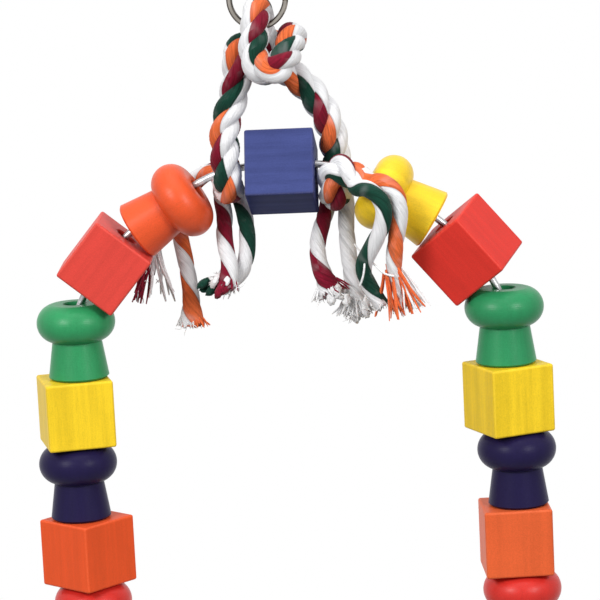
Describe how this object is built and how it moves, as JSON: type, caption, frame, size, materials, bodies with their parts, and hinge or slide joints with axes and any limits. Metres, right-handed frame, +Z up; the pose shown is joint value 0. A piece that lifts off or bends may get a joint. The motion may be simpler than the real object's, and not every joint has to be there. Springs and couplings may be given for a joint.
{
  "type": "bird swing",
  "caption": "Arch-shaped bird swing: coloured wooden cubes and turned spools threaded on a bent wire over a dowel perch, hung by knotted cotton rope from a split ring.",
  "frame": {"origin": "inside top of the split ring, where the hook bears", "axes": "+Z up, +X along the perch to the right as seen from the front, +Y to the back"},
  "size_m": [0.2198, 0.061, 0.3063],
  "materials": {
    "ring_steel": "nickel plated",
    "wire_steel": "drawn and galvanised",
    "bare_wood": "bare sanded dowel",
    "blue_wood": "thin glossy stain, the grain shows through",
    "orange_wood": "thin glossy stain, the grain shows through",
    "red_wood": "thin glossy stain, the grain shows through",
    "green_wood": "thin glossy stain, the grain shows through",
    "yellow_wood": "thin glossy stain, the grain shows through",
    "navy_wood": "thin glossy stain, the grain shows through",
    "cotton": "twisted cotton, white with dark red, green and orange plies"
  },
  "bodies": {
    "ring": {"split_ring": "ring_steel"},
    "swing": {"wire_arch": "wire_steel", "perch": "bare_wood", "rope": "cotton", "left_orange_tail": "cotton", "left_white_tail": "cotton", "left_red_tail": "cotton", "left_green_tail": "cotton", "right_green_tail": "cotton", "right_orange_tail": "cotton", "right_red_tail": "cotton", "right_white_tail": "cotton"},
    "blue_cube": {"blue_cube": "blue_wood"},
    "left_orange_spool": {"left_orange_spool": "orange_wood"},
    "left_red_cube": {"left_red_cube": "red_wood"},
    "left_red_spool": {"left_red_spool": "red_wood"},
    "left_orange_cube": {"left_orange_cube": "orange_wood"},
    "left_navy_spool": {"left_navy_spool": "navy_wood"},
    "left_yellow_cube": {"left_yellow_cube": "yellow_wood"},
    "left_green_spool": {"left_green_spool": "green_wood"},
    "right_yellow_spool": {"right_yellow_spool": "yellow_wood"},
    "right_red_cube": {"right_red_cube": "red_wood"},
    "right_red_spool": {"right_red_spool": "red_wood"},
    "right_orange_cube": {"right_orange_cube": "orange_wood"},
    "right_navy_spool": {"right_navy_spool": "navy_wood"},
    "right_yellow_cube": {"right_yellow_cube": "yellow_wood"},
    "right_green_spool": {"right_green_spool": "green_wood"}
  },
  "joints": [
    {"name": "swing", "type": "hinge", "parent": "ring", "child": "swing", "pos_m": [0, 0, -0.02155], "axis": [1, 0, 0], "range_deg": [-50, 50]},
    {"name": "blue_cube_spin", "type": "hinge", "parent": "swing", "child": "blue_cube", "pos_m": [0.0064, 0, -0.08075], "axis": [1, 0, 0], "continuous": true},
    {"name": "left_orange_spool_spin", "type": "hinge", "parent": "swing", "child": "left_orange_spool", "pos_m": [-0.05461, 0, -0.10316], "axis": [0.848, 0, 0.5299], "continuous": true},
    {"name": "left_red_cube_spin", "type": "hinge", "parent": "swing", "child": "left_red_cube", "pos_m": [-0.06779, 0, -0.11582], "axis": [0.6428, 0, 0.766], "continuous": true},
    {"name": "left_red_spool_spin", "type": "hinge", "parent": "swing", "child": "left_red_spool", "pos_m": [-0.08199, 0, -0.2823], "axis": [0, 0, 1], "continuous": true},
    {"name": "left_orange_cube_spin", "type": "hinge", "parent": "swing", "child": "left_orange_cube", "pos_m": [-0.08278, 0, -0.251], "axis": [0, 0, 1], "continuous": true},
    {"name": "left_navy_spool_spin", "type": "hinge", "parent": "swing", "child": "left_navy_spool", "pos_m": [-0.08478, 0, -0.2227], "axis": [0, 0, 1], "continuous": true},
    {"name": "left_yellow_cube_spin", "type": "hinge", "parent": "swing", "child": "left_yellow_cube", "pos_m": [-0.08418, 0, -0.1914], "axis": [0, 0, 1], "continuous": true},
    {"name": "left_green_spool_spin", "type": "hinge", "parent": "swing", "child": "left_green_spool", "pos_m": [-0.08199, 0, -0.1631], "axis": [0, 0, 1], "continuous": true},
    {"name": "right_yellow_spool_spin", "type": "hinge", "parent": "swing", "child": "right_yellow_spool", "pos_m": [0.06741, 0, -0.10316], "axis": [-0.848, 0, 0.5299], "continuous": true},
    {"name": "right_red_cube_spin", "type": "hinge", "parent": "swing", "child": "right_red_cube", "pos_m": [0.08059, 0, -0.11582], "axis": [-0.6428, 0, 0.766], "continuous": true},
    {"name": "right_red_spool_spin", "type": "hinge", "parent": "swing", "child": "right_red_spool", "pos_m": [0.09799, 0, -0.2823], "axis": [0, 0, 1], "continuous": true},
    {"name": "right_orange_cube_spin", "type": "hinge", "parent": "swing", "child": "right_orange_cube", "pos_m": [0.09619, 0, -0.251], "axis": [0, 0, 1], "continuous": true},
    {"name": "right_navy_spool_spin", "type": "hinge", "parent": "swing", "child": "right_navy_spool", "pos_m": [0.09778, 0, -0.2227], "axis": [0, 0, 1], "continuous": true},
    {"name": "right_yellow_cube_spin", "type": "hinge", "parent": "swing", "child": "right_yellow_cube", "pos_m": [0.09519, 0, -0.1914], "axis": [0, 0, 1], "continuous": true},
    {"name": "right_green_spool_spin", "type": "hinge", "parent": "swing", "child": "right_green_spool", "pos_m": [0.09478, 0, -0.1631], "axis": [0, 0, 1], "continuous": true}
  ]
}
